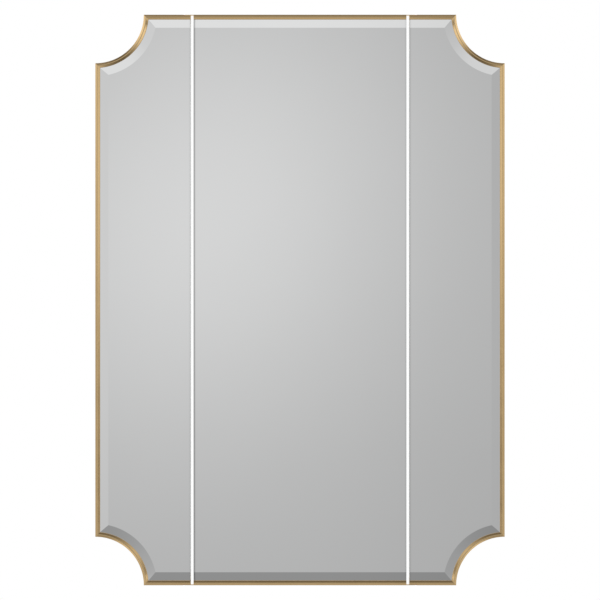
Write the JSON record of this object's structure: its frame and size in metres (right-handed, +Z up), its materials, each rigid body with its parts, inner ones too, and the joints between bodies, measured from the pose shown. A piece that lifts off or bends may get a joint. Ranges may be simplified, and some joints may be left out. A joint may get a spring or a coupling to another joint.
{
  "type": "trifold vanity mirror",
  "caption": "Wall-hung trifold mirror with bevelled glass, a slim gold frame with scalloped outer corners, and narrow wings that fold forward on flush pivots.",
  "frame": {"origin": "middle of the bottom edge, half way through the depth", "axes": "+X to the right as seen by a user, +Y towards the wall, +Z up; the glass faces -Y"},
  "size_m": [0.711, 0.0234, 0.991],
  "materials": {
    "mirror": "silvered float glass, polished",
    "gold_frame": "satin champagne gold plated profile",
    "brass_plate": "satin plated steel strip in the frame's gold",
    "end_block": "machined block, gold anodised",
    "bush": "acetal",
    "steel": "zinc plated",
    "board": "fibreboard, black melamine paper on the back",
    "foam_tape": "white closed-cell foam",
    "rubber": "matt black rubber"
  },
  "bodies": {
    "centre_panel": {"centre_backing_board": "board", "centre_bottom_rail": "gold_frame", "centre_bumpers": "rubber", "centre_foam_tape": "foam_tape", "centre_mirror_glass": "mirror", "centre_screws": "steel", "centre_top_rail": "gold_frame", "hanger_screws": "steel", "left_bottom_centre_block": "end_block", "left_bottom_pivot_pin": "steel", "left_bottom_pivot_plate": "brass_plate", "left_keyhole_hanger": "steel", "left_top_centre_block": "end_block", "left_top_pivot_pin": "steel", "left_top_pivot_plate": "brass_plate", "pivot_plate_screws": "brass_plate", "right_bottom_centre_block": "end_block", "right_bottom_pivot_pin": "steel", "right_bottom_pivot_plate": "brass_plate", "right_keyhole_hanger": "steel", "right_top_centre_block": "end_block", "right_top_pivot_pin": "steel", "right_top_pivot_plate": "brass_plate"},
    "left_wing": {"left_bottom_pivot_bush": "bush", "left_bottom_wing_block": "end_block", "left_top_pivot_bush": "bush", "left_top_wing_block": "end_block", "left_wing_backing_board": "board", "left_wing_bottom_rail": "gold_frame", "left_wing_bottom_scallop": "gold_frame", "left_wing_bumpers": "rubber", "left_wing_foam_tape": "foam_tape", "left_wing_mirror_glass": "mirror", "left_wing_screws": "steel", "left_wing_stile": "gold_frame", "left_wing_top_rail": "gold_frame", "left_wing_top_scallop": "gold_frame"},
    "right_wing": {"right_bottom_pivot_bush": "bush", "right_bottom_wing_block": "end_block", "right_top_pivot_bush": "bush", "right_top_wing_block": "end_block", "right_wing_backing_board": "board", "right_wing_bottom_rail": "gold_frame", "right_wing_bottom_scallop": "gold_frame", "right_wing_bumpers": "rubber", "right_wing_foam_tape": "foam_tape", "right_wing_mirror_glass": "mirror", "right_wing_screws": "steel", "right_wing_stile": "gold_frame", "right_wing_top_rail": "gold_frame", "right_wing_top_scallop": "gold_frame"}
  },
  "joints": [
    {"name": "left_wing_fold", "type": "hinge", "parent": "centre_panel", "child": "left_wing", "pos_m": [-0.197, -0.00425, 0.4955], "axis": [0, 0, 1], "range_deg": [0, 105]},
    {"name": "right_wing_fold", "type": "hinge", "parent": "centre_panel", "child": "right_wing", "pos_m": [0.197, -0.00425, 0.4955], "axis": [0, 0, -1], "range_deg": [0, 105]}
  ]
}
